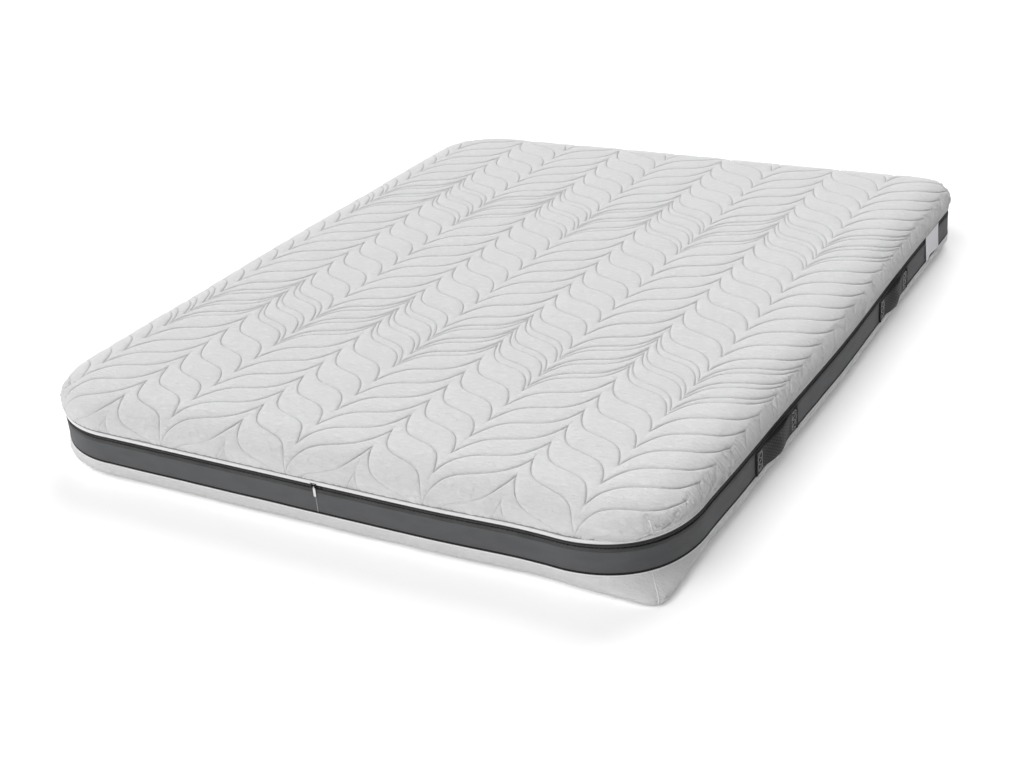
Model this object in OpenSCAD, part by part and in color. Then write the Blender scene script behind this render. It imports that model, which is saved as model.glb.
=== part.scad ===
// Foam mattress with a zip-off quilted top cover, a dark border band and side handles.
// Units are millimetres. The origin is the centre of the underside, +Z is up, +X runs across
// the width and +Y along the length. The end with the zip slider is at -Y.

/* [Mattress] */
// Width over the covers
mattress_w = 1600; // [1200:50:1800]
// Length over the covers
mattress_l = 2000; // [1900:50:2200]
// Height over the covers
mattress_h = 180; // [180:5:260]
// Corner radius of the covers and of the border band, seen from above
corner_r = 220; // [150:10:240]

/* [Border band] */
// Height at which the border band meets the bottom cover
band_bottom_z = 46; // [40:1:47]
// Height of the dark fabric below the zip, with its two bindings
band_h = 56; // [50:1:57]
// How far the band lies back from the widest line of the covers
band_recess = 4; // [3.5:0.5:5]

/* [Foam] */
// Thickness of the memory foam layer
memory_foam_t = 40; // [40:5:80]

/* [Covers] */
// Thickness of the outer knit
knit_t = 2; // [1.5:0.5:2.5]
// Thickness of the quilting wadding
wadding_t = 9.5; // [9:0.5:10]
// Thickness of the backing cloth behind the wadding
backing_t = 1; // [1:0.5:1.5]
// Width of the rounding along the top edge
top_round = 90; // [60:5:110]
// Height of the rounding along the top edge
top_crown = 54; // [40:1:54]

/* [Handles] */
// Length of a handle between the outer ends of its sewn patches
handle_l = 230; // [200:10:260]
// Length of each sewn end patch
patch_l = 30; // [25:1:35]
// How far the middle of a handle stands off the band
handle_bow = 12; // [10:1:14]
// Distance of the handles from the middle of the long side
handle_y = 400; // [350:10:420]
// Shift of all the handles towards the zip end
handle_shift = 25; // [0:5:30]

/* [Zip] */
// Place of the closed slider along the width
slider_x = 30; // [-50:5:50]
// Length of the pull tab
pull_l = 23; // [20:1:38]

/* [Care label] */
// Width of the label along the long side
label_w = 115; // [60:5:120]

/* [Hidden] */
$fn = 64;

CORNER_STEPS = 8;        // straight steps in each corner of a lofted ring
CURVE_STEPS = 6;         // rings in each rounded edge
ROUNDNESS = 2.5;         // exponent of the rounded bottom edge, 2 would be an ellipse
SEAM_NIP = 3;            // how far the seams pull the covers in
MIN_R = 4;               // smallest corner radius of a ring
SLEEVE_GAP = 0.9;        // free space between the covers and the inner sleeve
SLEEVE_T = 1;            // thickness of the inner sleeve
SLEEVE_FLAP = 150;       // how far the sleeve turns in under the foam
BOTTOM_ROUND = 32;       // width of the rounding along the bottom edge
BOTTOM_RISE = 28;        // height of the rounding along the bottom edge
BOTTOM_CORNER_R = 45;    // the bottom cover is tailored to a tight corner below its seam
BOTTOM_CORNER_Z = 20;    // height where that tight corner is reached
LAYER_STOP = 6;          // the wadding ends this far short of the cover's seam

BINDING_H = 2.5;         // height of each binding of the band
BINDING_PROUD = 0.3;     // how far a binding stands out of the band
BAND_T = 3;              // thickness of the band's mesh fabric
LINING_GAP = 1;          // free space between the band's foam lining and the sleeve
TAPE_T = 1;              // thickness of the zip tapes
TAPE_HIDDEN = 7;         // width of a tape that is sewn behind its fabric
COIL_T = 1.5;            // how far a coil stands out of its tape
COIL_H = 3.6;            // height of a coil
COIL_SPLIT = 0.8;        // gap between the two coils
ZIP_W = 11;              // visible height of the closed zip
HEM_H = 4;               // height of the top cover's hem
HEM_PROUD = 0.5;         // how far the hem stands out of the band

STRAP_T = 2.5;           // thickness of the handle webbing
STRAP_GAP = 0.5;         // space between the webbing and the band
STRAP_EASE = 0.5;        // the webbing stops this far short of the bindings
END_GAP = 0.3;           // space between a handle and its end patches
STRAP_STEPS = 24;        // steps along a handle's bow

SLIDER_L = 16;           // length of the slider along the zip
SLIDER_T = 1.4;          // thickness of the slider's plate
SLIDER_GAP = 0.4;        // space between the slider's plate and the coils
RAIL_H = 1.2;            // height of the slider's lower rail
BRIDGE_L = 12;           // length of the slider's bridge
BRIDGE_R = 0.7;          // radius of the bridge's bar
BRIDGE_RISE = 1.9;       // height of the bar's axis over the plate
POST_W = 2;              // width of the bridge's posts
CROWN_H = 8.7;           // height of the slider's crown over the bridge's axis
CROWN_T = 1.6;           // height of the crown's crossbar
EYE_R = 1.7;             // outer radius of the pull's eye
EYE_BORE_R = 0.9;        // radius of the hole in the pull's eye
EYE_W = 2;               // width of the pull's eye
PULL_W = 6;              // width of the pull tab
PULL_T = 1.2;            // thickness of the pull tab
STOP_W = 3;              // length of a zip end stop
STOP_T = 1;              // thickness of a zip end stop
STOP_AWAY = 14;          // distance of the end stops from the slider's centre
SEAM_W = 2;              // width of the band's join seam
SEAM_T = 0.6;            // thickness of the band's join seam
LABEL_T = 0.8;           // thickness of the care label
LABEL_DROP = 66;         // height of the care label
LABEL_INSET = 5;         // space between the label and the start of the corner

half_w = mattress_w / 2;
half_l = mattress_l / 2;
cover_t = knit_t + wadding_t + backing_t;
sleeve_in = cover_t + SLEEVE_GAP;
foam_in = sleeve_in + SLEEVE_T;
widest_z = mattress_h - top_crown;
band_top_z = band_bottom_z + band_h;
hem_z = band_top_z + ZIP_W;
skirt_z = hem_z + HEM_H;
tape_in = band_recess + BAND_T;
coil_in = tape_in - COIL_T;
zip_z = band_top_z + ZIP_W / 2 + 0.5;
split_z = mattress_h - foam_in - memory_foam_t;
strap_z0 = band_bottom_z + BINDING_H + STRAP_EASE;
strap_z1 = band_top_z - BINDING_H - STRAP_EASE;
strap_half = handle_l / 2 - patch_l;
strap_x = half_w - band_recess + STRAP_GAP;
plate_y = half_l - coil_in + SLIDER_GAP;
bar_y = plate_y + SLIDER_T + BRIDGE_RISE;

// ---- Lofted soft shapes: a ring is [height, inset from the outline, corner radius of the outline]

function ring_points(ring) =
    let (r = max(ring[2] - ring[1], MIN_R))
    let (cx = half_w - ring[1] - r)
    let (cy = half_l - ring[1] - r)
    [for (quarter = [0:3])
        let (sx = (quarter == 0 || quarter == 3) ? 1 : -1)
        let (sy = quarter < 2 ? 1 : -1)
        for (step = [0:CORNER_STEPS])
            let (a = 90 * (quarter + step / CORNER_STEPS))
            [sx * cx + r * cos(a), sy * cy + r * sin(a), ring[0]]];

RING_N = 4 * (CORNER_STEPS + 1);

function ring_walls(first, count, flip) =
    [for (ring = [first:first + count - 2])
        for (i = [0:RING_N - 1])
            let (a = ring * RING_N + i)
            let (b = ring * RING_N + (i + 1) % RING_N)
            flip ? [b, a, a + RING_N, b + RING_N] : [a, b, b + RING_N, a + RING_N]];

function ring_cap(ring, flip) =
    flip ? [for (i = [0:RING_N - 1]) ring * RING_N + i]
         : [for (i = [RING_N - 1:-1:0]) ring * RING_N + i];

// A closed solid through the rings, lowest ring first
module loft(rings) {
    polyhedron(
        points = [for (ring = rings) each ring_points(ring)],
        faces = [for (face = concat(ring_walls(0, len(rings), false),
                                    [ring_cap(0, false), ring_cap(len(rings) - 1, true)]))
            [for (i = [len(face) - 1:-1:0]) face[i]]],
        convexity = 4);
}

// A bowl-shaped shell: each list runs from the open rim to the closed end.
// up is true when the closed end is above the rim.
module shell(outer, inner, up) {
    n_out = len(outer);
    n_in = len(inner);
    rim = [for (i = [0:RING_N - 1])
        let (j = (i + 1) % RING_N)
        [i, n_out * RING_N + i, n_out * RING_N + j, j]];
    faces = concat(ring_walls(0, n_out, false), [ring_cap(n_out - 1, true)],
                   ring_walls(n_out, n_in, true), [ring_cap(n_out + n_in - 1, false)], rim);
    polyhedron(
        points = [for (ring = concat(outer, inner)) each ring_points(ring)],
        faces = up ? [for (face = faces) [for (i = [len(face) - 1:-1:0]) face[i]]] : faces,
        convexity = 6);
}

// Rounded top edge at depth d inside the cover, from the widest line to the flat top
function top_edge(d) =
    [for (i = [0:CURVE_STEPS])
        let (t = 90 * i / CURVE_STEPS)
        [widest_z + (top_crown - d) * sin(t), d + top_round * (1 - cos(t)), corner_r]];

// Rounded bottom edge at depth d, from the flat underside to its widest line
function bottom_edge(d, tight) =
    [for (i = [0:CURVE_STEPS])
        let (t = 90 * (1 - i / CURVE_STEPS))
        let (z = BOTTOM_RISE - (BOTTOM_RISE - d) * pow(sin(t), 2 / ROUNDNESS))
        [z, d + BOTTOM_ROUND * (1 - pow(cos(t), 2 / ROUNDNESS)), tight ? bottom_corner(z) : corner_r]];

function bottom_corner(z) =
    BOTTOM_CORNER_R + (corner_r - BOTTOM_CORNER_R)
        * max(0, min(1, (z - BOTTOM_CORNER_Z) / (band_bottom_z - BOTTOM_CORNER_Z)));

// The covers' skirts pull in by SEAM_NIP towards their seams
function skirt_nip(z) = SEAM_NIP * cos(90 * (z - skirt_z) / (widest_z - skirt_z));
function base_nip(z) = SEAM_NIP * sin(90 * (z - BOTTOM_RISE) / (band_bottom_z - BOTTOM_RISE));

// Rings of the top cover from its rim upwards; the lowest ring is left out of the padded layers
function top_skirt(d, nip, padded) =
    let (first_z = skirt_z + LAYER_STOP - 1, step = (widest_z - skirt_z - LAYER_STOP) / 3)
    [for (i = [padded ? 1 : 0:3])
        let (z = i == 0 ? skirt_z : first_z + (i - 1) * step)
        [z, d + (nip ? skirt_nip(z) : 0), corner_r]];

function top_rings(d, nip, padded) = concat(top_skirt(d, nip, padded), top_edge(d));

// Rings of the bottom cover from its rim downwards
function base_skirt(d, nip, padded) =
    [for (i = [padded ? 1 : 0:2])
        let (z = band_bottom_z - i * LAYER_STOP)
        [z, d + (nip ? base_nip(z) : 0), bottom_corner(z)]];

function base_rings(d, nip, padded) =
    let (edge = bottom_edge(d, true))
    concat(base_skirt(d, nip, padded), [for (i = [len(edge) - 1:-1:0]) edge[i]]);

module top_layer(d0, nip0, d1, nip1, padded) {
    shell(top_rings(d0, nip0, padded), top_rings(d1, nip1, padded), true);
}

module base_layer(d0, nip0, d1, nip1, padded) {
    shell(base_rings(d0, nip0, padded), base_rings(d1, nip1, padded), false);
}

// ---- Exact rings that follow the outline

module outline(inset) {
    r = corner_r - inset;
    square([mattress_w - 2 * inset, mattress_l - 2 * inset - 2 * r], center = true);
    square([mattress_w - 2 * inset - 2 * r, mattress_l - 2 * inset], center = true);
    for (sx = [-1, 1], sy = [-1, 1])
        translate([sx * (half_w - corner_r), sy * (half_l - corner_r)])
            circle(r = r);
}

module edge_ring(inset, t, z0, z1) {
    translate([0, 0, z0])
        linear_extrude(z1 - z0)
            difference() {
                outline(inset);
                outline(inset + t);
            }
}

// ---- Foam and inner sleeve

module support_core_foam() {
    color("#e9e4d2")
        loft(concat(bottom_edge(foam_in, false), [[split_z, foam_in, corner_r]]));
}

module memory_foam_layer() {
    color("#f3ecd2")
        loft(concat([[split_z, foam_in, corner_r]], top_edge(foam_in)));
}

// Stockinette drawn over the foam; its open end turns in under the core
module inner_sleeve() {
    outer = concat([[sleeve_in, SLEEVE_FLAP, corner_r]], bottom_edge(sleeve_in, false), top_edge(sleeve_in));
    inner = concat([[foam_in, SLEEVE_FLAP, corner_r]], bottom_edge(foam_in, false), top_edge(foam_in));
    color("#f4f4f0")
        shell(outer, inner, true);
}

// ---- Bottom cover

module bottom_cover_knit() {
    color("#e6e6e6") base_layer(0, true, knit_t, true, false);
}

module bottom_cover_wadding() {
    color("#fafafa") base_layer(knit_t, true, knit_t + wadding_t, false, true);
}

module bottom_cover_backing() {
    color("#ececec") base_layer(knit_t + wadding_t, false, cover_t, false, true);
}

// ---- Top cover

module top_cover_knit() {
    color("#f2f2f2") top_layer(0, true, knit_t, true, false);
}

module top_cover_wadding() {
    color("#fafafa") top_layer(knit_t, true, knit_t + wadding_t, false, true);
}

module top_cover_backing() {
    color("#ececec") top_layer(knit_t + wadding_t, false, cover_t, false, true);
}

module top_cover_hem() {
    color("#f7f7f7")
        edge_ring(band_recess - HEM_PROUD, BAND_T + HEM_PROUD, hem_z, skirt_z);
}

// ---- Border band

module border_band() {
    color("#5f6062")
        edge_ring(band_recess, BAND_T, band_bottom_z + BINDING_H, band_top_z - BINDING_H);
}

module border_lining() {
    color("#d9d9d9")
        edge_ring(tape_in, sleeve_in - LINING_GAP - tape_in, band_bottom_z + BINDING_H,
                  band_top_z - TAPE_HIDDEN - END_GAP);
}

module band_binding(z0) {
    color("#18191a")
        edge_ring(band_recess - BINDING_PROUD, BAND_T + BINDING_PROUD, z0, z0 + BINDING_H);
}

module lower_band_binding() {
    band_binding(band_bottom_z);
}

module upper_band_binding() {
    band_binding(band_top_z - BINDING_H);
}

// Upright seam where the two ends of the band meet under the slider
module band_join_seam() {
    color("#9a9b9d")
        translate([slider_x - SEAM_W / 2, -half_l + band_recess - SEAM_T, strap_z0])
            cube([SEAM_W, SEAM_T, strap_z1 - strap_z0]);
}

// ---- Zip

module lower_zip_tape() {
    color("#2b2c2e")
        edge_ring(tape_in, TAPE_T, band_top_z - TAPE_HIDDEN, zip_z - COIL_SPLIT / 2);
}

module lower_zip_coil() {
    color("#3a3b3d")
        edge_ring(coil_in, COIL_T, zip_z - COIL_SPLIT / 2 - COIL_H, zip_z - COIL_SPLIT / 2);
}

module upper_zip_tape() {
    color("#2b2c2e")
        edge_ring(tape_in, TAPE_T, zip_z + COIL_SPLIT / 2, skirt_z + HEM_H);
}

module upper_zip_coil() {
    color("#3a3b3d")
        edge_ring(coil_in, COIL_T, zip_z + COIL_SPLIT / 2, zip_z + COIL_SPLIT / 2 + COIL_H);
}

module zip_stop(z0) {
    color("#1c1d1e")
        translate([slider_x + STOP_AWAY, -half_l + coil_in - STOP_T, z0])
            cube([STOP_W, STOP_T, COIL_H]);
}

module lower_zip_stop() {
    zip_stop(zip_z - COIL_SPLIT / 2 - COIL_H);
}

module upper_zip_stop() {
    zip_stop(zip_z + COIL_SPLIT / 2);
}

// The slider's plate covers both coils, its rail hooks under the lower one, and its crown stands over the hem
module zip_slider() {
    plate_z0 = band_top_z + END_GAP;
    plate_z1 = hem_z - END_GAP;
    color("#141414") {
        translate([slider_x - SLIDER_L / 2, -plate_y - SLIDER_T, plate_z0])
            cube([SLIDER_L, SLIDER_T, plate_z1 - plate_z0]);
        translate([slider_x - SLIDER_L / 2, -plate_y, plate_z0])
            cube([SLIDER_L, COIL_T, RAIL_H]);
        for (side = [-1, 1]) {
            post_x = slider_x + side * (BRIDGE_L - POST_W) / 2 - POST_W / 2;
            translate([post_x, -bar_y - BRIDGE_R, zip_z - BRIDGE_R])
                cube([POST_W, BRIDGE_RISE + BRIDGE_R, 2 * BRIDGE_R]);
            translate([post_x, -bar_y - BRIDGE_R, zip_z])
                cube([POST_W, 2 * BRIDGE_R, CROWN_H]);
        }
        translate([slider_x - SLIDER_L / 2, -bar_y - BRIDGE_R, zip_z + CROWN_H - CROWN_T])
            cube([SLIDER_L, 2 * BRIDGE_R, CROWN_T]);
        translate([slider_x - BRIDGE_L / 2, -bar_y, zip_z])
            rotate([0, 90, 0])
                cylinder(r = BRIDGE_R, h = BRIDGE_L);
    }
}

// The pull's eye turns on the slider's bridge; the tab hangs down in front of the band
module zip_pull() {
    color("#d8d8d6")
        translate([slider_x, -bar_y, zip_z])
            difference() {
                union() {
                    translate([-EYE_W / 2, 0, 0])
                        rotate([0, 90, 0])
                            cylinder(r = EYE_R, h = EYE_W);
                    translate([-EYE_W / 2, -PULL_T / 2, -2 * EYE_R])
                        cube([EYE_W, PULL_T, 2 * EYE_R]);
                    translate([-PULL_W / 2, -PULL_T / 2, -pull_l + PULL_W / 2])
                        cube([PULL_W, PULL_T, pull_l - PULL_W / 2 - 1.5 * EYE_R]);
                    translate([0, PULL_T / 2, -pull_l + PULL_W / 2])
                        rotate([90, 0, 0])
                            cylinder(r = PULL_W / 2, h = PULL_T);
                }
                translate([-EYE_W, 0, 0])
                    rotate([0, 90, 0])
                        cylinder(r = EYE_BORE_R, h = 2 * EYE_W);
            }
}

// ---- Handles: the webbing bows out from the band between two sewn patches

function strap_bow(y) = handle_bow * pow(cos(90 * y / strap_half), 2);

module handle_web(side, y0) {
    reach = strap_half - END_GAP;
    ys = [for (i = [0:STRAP_STEPS]) reach * (2 * i / STRAP_STEPS - 1)];
    inner = [for (y = ys) [strap_x + strap_bow(y), y]];
    outer = [for (i = [STRAP_STEPS:-1:0]) [strap_x + STRAP_T + strap_bow(ys[i]), ys[i]]];
    color("#1f1f20")
        mirror([side < 0 ? 1 : 0, 0, 0])
            translate([0, y0, strap_z0])
                linear_extrude(strap_z1 - strap_z0)
                    polygon(concat(inner, outer));
}

module handle_patches(side, y0) {
    color("#262628")
        mirror([side < 0 ? 1 : 0, 0, 0])
            for (end = [-1, 1])
                translate([half_w - band_recess, y0 + end * (handle_l - patch_l) / 2 - patch_l / 2, strap_z0])
                    cube([STRAP_T, patch_l, strap_z1 - strap_z0]);
}

module handle_front_right() {
    handle_web(1, -handle_y - handle_shift);
}

module handle_rear_right() {
    handle_web(1, handle_y - handle_shift);
}

module handle_front_left() {
    handle_web(-1, -handle_y - handle_shift);
}

module handle_rear_left() {
    handle_web(-1, handle_y - handle_shift);
}

module handle_patches_front_right() {
    handle_patches(1, -handle_y - handle_shift);
}

module handle_patches_rear_right() {
    handle_patches(1, handle_y - handle_shift);
}

module handle_patches_front_left() {
    handle_patches(-1, -handle_y - handle_shift);
}

module handle_patches_rear_left() {
    handle_patches(-1, handle_y - handle_shift);
}

// Sewn under the hem of the top cover near the rear right corner
module care_label() {
    label_y = half_l - corner_r - LABEL_INSET - label_w;
    color("#f4f4f4")
        translate([half_w - band_recess + HEM_PROUD, label_y, skirt_z - END_GAP - LABEL_DROP])
            cube([LABEL_T, label_w, LABEL_DROP]);
}

support_core_foam();
memory_foam_layer();
inner_sleeve();
bottom_cover_knit();
bottom_cover_wadding();
bottom_cover_backing();
top_cover_knit();
top_cover_wadding();
top_cover_backing();
top_cover_hem();
border_band();
border_lining();
lower_band_binding();
upper_band_binding();
band_join_seam();
lower_zip_tape();
lower_zip_coil();
upper_zip_tape();
upper_zip_coil();
lower_zip_stop();
upper_zip_stop();
zip_slider();
zip_pull();
handle_front_right();
handle_rear_right();
handle_front_left();
handle_rear_left();
handle_patches_front_right();
handle_patches_rear_right();
handle_patches_front_left();
handle_patches_rear_left();
care_label();
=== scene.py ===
from math import cos, pi, radians, sin

import bmesh
import bpy
import numpy as np
from mathutils import Matrix, Vector


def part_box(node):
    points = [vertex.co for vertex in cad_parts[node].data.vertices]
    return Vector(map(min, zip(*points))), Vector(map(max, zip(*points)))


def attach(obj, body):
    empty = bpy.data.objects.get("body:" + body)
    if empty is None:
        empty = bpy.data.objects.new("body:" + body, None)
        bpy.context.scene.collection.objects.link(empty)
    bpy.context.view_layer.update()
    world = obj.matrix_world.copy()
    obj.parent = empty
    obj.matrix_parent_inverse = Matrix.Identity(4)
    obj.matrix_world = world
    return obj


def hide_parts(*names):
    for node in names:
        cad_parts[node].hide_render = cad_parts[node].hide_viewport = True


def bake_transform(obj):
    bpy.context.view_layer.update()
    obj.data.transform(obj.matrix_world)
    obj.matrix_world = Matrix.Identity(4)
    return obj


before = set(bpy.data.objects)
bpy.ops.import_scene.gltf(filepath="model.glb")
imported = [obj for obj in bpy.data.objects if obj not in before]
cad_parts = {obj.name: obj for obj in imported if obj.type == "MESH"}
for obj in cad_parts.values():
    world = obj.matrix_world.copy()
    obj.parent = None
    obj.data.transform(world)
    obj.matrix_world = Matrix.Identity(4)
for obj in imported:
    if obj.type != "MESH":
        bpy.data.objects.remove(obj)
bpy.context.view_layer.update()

MM = 0.001

# ---------------------------------------------------------------- sizes from the frame

COVER_LO, COVER_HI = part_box("top_cover_knit")
BASE_LO, BASE_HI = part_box("bottom_cover_knit")
HALF_W = COVER_HI[0]
HALF_L = COVER_HI[1]
TOP_Z = COVER_HI[2]
SKIRT_Z = COVER_LO[2]          # lower edge of the top cover's knit
SEAM_Z = BASE_HI[2]            # upper edge of the bottom cover's knit

# Corner radii, from the rear right anticlockwise: the fabric is not equally full in all four
QUADRANTS = ((1, 1), (-1, 1), (-1, -1), (1, -1))
BAND_R = (0.14, 0.22, 0.253, 0.22)
TOP_R = (0.11, 0.19, 0.235, 0.135)
BASE_R = (0.13, 0.10, 0.235, 0.050)
CORNER_SEAM = 0.735            # angle of each corner seam from the width direction
BOTH_CORNERS = 0.44            # length that two corners take off a side

EDGE_A = 0.090                 # width of the rounding along the top edge
EDGE_B = 0.054                 # height of that rounding
EDGE_Z = TOP_Z - EDGE_B        # height at which the rounding meets the upright skirt
NIP = 0.003                    # how far the covers pull in at their seams
TUCK_Z = 0.150                 # below this height the top's corners draw in to the band's
SEAM_REACH = 0.13              # radius that turns the angle from a corner seam into a distance
COVER_DEPTH = 0.0122           # thickness of a quilted cover
HEM_TUCK = 0.0032              # how much deeper the hem lies along the long sides
SEAM_AND_SHADE_TUCK = 0.0060         # the same for the grey strip above the hem, partly seam thread and partly painted crease shade
WELT_Z = (0.0418, 0.0448)      # lower and upper edge of the base's welt
CORE_INSET = 0.0147            # how far each inner piece's side lies inside the outline
MEMORY_INSET = 0.0160
SLEEVE_INSET = 0.0136

# Quilting: S-shaped lines that repeat along the length and swing between the columns
COLUMN = 0.3305                # width of one pair of mirrored columns
PEAK_X = -0.534                # a peak of the swing
LINE_GAP = 0.0731              # distance between two lines
LINE_START = -0.860            # line 0 at mid-column
SWING = 0.028                  # straight part of the swing
HOOK = 0.062                   # hooked part of the swing, at the column edges
TWIN_LINES = (5, 6, 7, 16, 17, 18)     # lines with a second line beside them
TWIN_GAP = 0.024               # distance of a second line from the first
LAST_PEAK = PEAK_X + 4 * COLUMN
SIDE_SWING = 0.55              # share of the swing left beyond the last peak, down the right side
PUFF = 0.0038                  # height of a full puff
PUFF_DROP = PUFF * 0.9         # how far the quilt is sunk, so that its puffs end near the CAD surface

# The soft sides aren't quite straight: (x, y, reach, outward push) of each lean in the outline
LEANS = (
    (0.50, -1.00, 0.13, -0.008),
    (0.74, -0.94, 0.10, 0.007),
    (0.80, -0.78, 0.12, -0.004),
    (0.80, 0.00, 0.32, 0.008),
    (-0.80, 0.05, 0.45, 0.006),
    (0.10, 1.00, 0.40, 0.005),
)


def smooth(low, high, value):
    t = np.clip((value - low) / (high - low), 0.0, 1.0)
    return t * t * (3.0 - 2.0 * t)


def bump_at(value, width):
    return np.exp(-(value / width) ** 2)


def lattice_noise(x, y, seed):
    """Smooth random values from -1 to 1, one lattice cell per unit."""
    size = 256
    table = np.random.RandomState(seed).rand(size, size) * 2.0 - 1.0
    x, y = np.broadcast_arrays(np.asarray(x, float), np.asarray(y, float))
    ix, iy = np.floor(x).astype(int), np.floor(y).astype(int)
    fx, fy = x - ix, y - iy
    fx, fy = fx * fx * (3 - 2 * fx), fy * fy * (3 - 2 * fy)
    a = table[ix % size, iy % size]
    b = table[(ix + 1) % size, iy % size]
    c = table[ix % size, (iy + 1) % size]
    d = table[(ix + 1) % size, (iy + 1) % size]
    return (a * (1 - fx) + b * fx) * (1 - fy) + (c * (1 - fx) + d * fx) * fy


# ---------------------------------------------------------------- outlines

def outline_distance(x, y, half_w, half_l, radii):
    """Distance from a rounded rectangle, and the outward direction there."""
    right = np.where(y >= 0, radii[0], radii[3])
    left = np.where(y >= 0, radii[1], radii[2])
    r = np.where(x >= 0, right, left)
    qx, qy = np.abs(x) - (half_w - r), np.abs(y) - (half_l - r)
    ox, oy = np.maximum(qx, 0), np.maximum(qy, 0)
    out = np.hypot(ox, oy)
    distance = out + np.minimum(np.maximum(qx, qy), 0) - r
    corner = (qx > 0) & (qy > 0)
    safe = np.maximum(out, 1e-9)
    nx = np.where(corner, ox / safe, np.where(qx > qy, 1.0, 0.0))
    ny = np.where(corner, oy / safe, np.where(qx > qy, 0.0, 1.0))
    return distance, nx * np.where(x >= 0, 1, -1), ny * np.where(y >= 0, 1, -1)


def outline_ring(radii, step, corner_steps):
    """Points and outward normals once round the outline, anticlockwise from the rear right corner."""
    points, normals = [], []
    sides = (2 * HALF_W, 2 * HALF_L, 2 * HALF_W, 2 * HALF_L)
    for k, (sx, sy) in enumerate(QUADRANTS):
        r = radii[k]
        cx, cy = sx * (HALF_W - r), sy * (HALF_L - r)
        for a in np.linspace(pi / 2 * k, pi / 2 * (k + 1), corner_steps + 1):
            points.append((cx + r * cos(a), cy + r * sin(a)))
            normals.append((cos(a), sin(a)))
        mx, my = QUADRANTS[(k + 1) % 4]
        rn = radii[(k + 1) % 4]
        a = pi / 2 * (k + 1)
        end = (mx * (HALF_W - rn) + rn * cos(a), my * (HALF_L - rn) + rn * sin(a))
        start = points[-1]
        count = int((sides[k] - BOTH_CORNERS) / step)
        for i in range(1, count):
            t = i / count
            points.append((start[0] + (end[0] - start[0]) * t, start[1] + (end[1] - start[1]) * t))
            normals.append((cos(a), sin(a)))
    return np.array(points), np.array(normals)


def run_length(points):
    return np.concatenate([[0], np.cumsum(np.linalg.norm(np.diff(points, axis=0), axis=1))])


def settle(verts):
    """Leans the sides in and out a little, as soft fabric does."""
    verts = np.array(verts, float)
    x, y = verts[:, 0], verts[:, 1]
    distance, nx, ny = outline_distance(x, y, HALF_W, HALF_L, BAND_R)
    push = np.zeros(len(verts))
    for lx, ly, reach, amount in LEANS:
        push += amount * bump_at(np.hypot(x - lx, y - ly), reach)
    push *= smooth(-0.30, -0.02, distance)
    return verts + np.c_[nx * push, ny * push, np.zeros(len(verts))]


# ---------------------------------------------------------------- mesh helpers

def new_object(name, verts, faces, material, settled=True):
    verts = settle(verts) if settled else np.array(verts, float)
    mesh = bpy.data.meshes.new(name)
    mesh.from_pydata([tuple(v) for v in verts], [], [tuple(f) for f in faces])
    mesh.materials.append(material)
    mesh.polygons.foreach_set("use_smooth", [True] * len(mesh.polygons))
    mesh.update()
    obj = bpy.data.objects.new(name, mesh)
    bpy.context.scene.collection.objects.link(obj)
    return obj


def grid_faces(rows, cols, wrap_cols=False, wrap_rows=False):
    r = np.arange(rows if wrap_rows else rows - 1)[:, None]
    c = np.arange(cols if wrap_cols else cols - 1)[None, :]
    r1, c1 = (r + 1) % rows, (c + 1) % cols
    return np.stack(np.broadcast_arrays(r * cols + c, r * cols + c1, r1 * cols + c1, r1 * cols + c),
                    -1).reshape(-1, 4)


def clean_mesh(obj, reach=1e-5):
    """Joins vertices that lie together, and drops faces with no area."""
    bm = bmesh.new()
    bm.from_mesh(obj.data)
    bmesh.ops.remove_doubles(bm, verts=bm.verts, dist=reach)
    bmesh.ops.dissolve_degenerate(bm, edges=bm.edges, dist=reach)
    loose = [v for v in bm.verts if not v.link_faces]
    bmesh.ops.delete(bm, geom=loose, context="VERTS")
    bm.to_mesh(obj.data)
    bm.free()


def add_weave(obj, coordinates):
    """Stores where each point lies in its cloth, so that a weave follows the strip round its bends."""
    attribute = obj.data.attributes.new("weave", "FLOAT_VECTOR", "POINT")
    attribute.data.foreach_set("vector", np.asarray(coordinates, np.float32).ravel())
    return obj


def add_weight(obj, name, values):
    """Stores one number for each point, which a material reads."""
    attribute = obj.data.attributes.new(name, "FLOAT", "POINT")
    attribute.data.foreach_set("value", np.asarray(values, np.float32))


def rounded_profile(inset0, inset1, z0, z1, r, steps=3):
    """Rounded rectangle between two insets and two heights, for a swept strip."""
    out = []
    centres = ((inset1 - r, z1 - r), (inset0 + r, z1 - r), (inset0 + r, z0 + r), (inset1 - r, z0 + r))
    for k, (ci, cz) in enumerate(centres):
        for i in range(steps + 1):
            a = pi / 2 * (k + i / steps)
            out.append((ci + r * cos(a), cz + r * sin(a)))
    return out


def sweep_outline(name, profile, material, step=0.008, ripple=0.0, seed=1, tooth=0.0, side_tuck=0.0):
    """A closed strip that runs round the band's outline. profile is a list of (inset, z), and
    side_tuck is how much deeper the strip lies along the two long sides."""
    points, normals = outline_ring(BAND_R, step, int(0.35 / step) if tooth else 40)
    points, normals = np.r_[points, points[:1]], np.r_[normals, normals[:1]]
    along = run_length(points)
    wave = lattice_noise(along / 0.11, 0.5, seed) + 0.5 * lattice_noise(along / 0.035, 0.5, seed + 1)
    wave = wave * ripple * smooth(0.0, 0.1, along) * smooth(0.0, 0.1, along[-1] - along)
    teeth = tooth * (np.arange(len(points)) % 2)
    verts, weave = [], []
    middle = sum(p[0] for p in profile) / len(profile)
    for inset, z in profile:
        outer = inset < middle
        tuck = side_tuck * normals[:, :1] ** 2
        xy = points - normals * (inset + tuck - wave[:, None] + (teeth[:, None] if outer else 0.0))
        verts.append(np.c_[xy, np.full(len(xy), z)])
        weave.append(np.c_[along, np.full(len(xy), z), np.full(len(xy), inset)])
    faces = grid_faces(len(profile), len(points), wrap_rows=True)
    return add_weave(new_object(name, np.concatenate(verts), faces, material), np.concatenate(weave))


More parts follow.
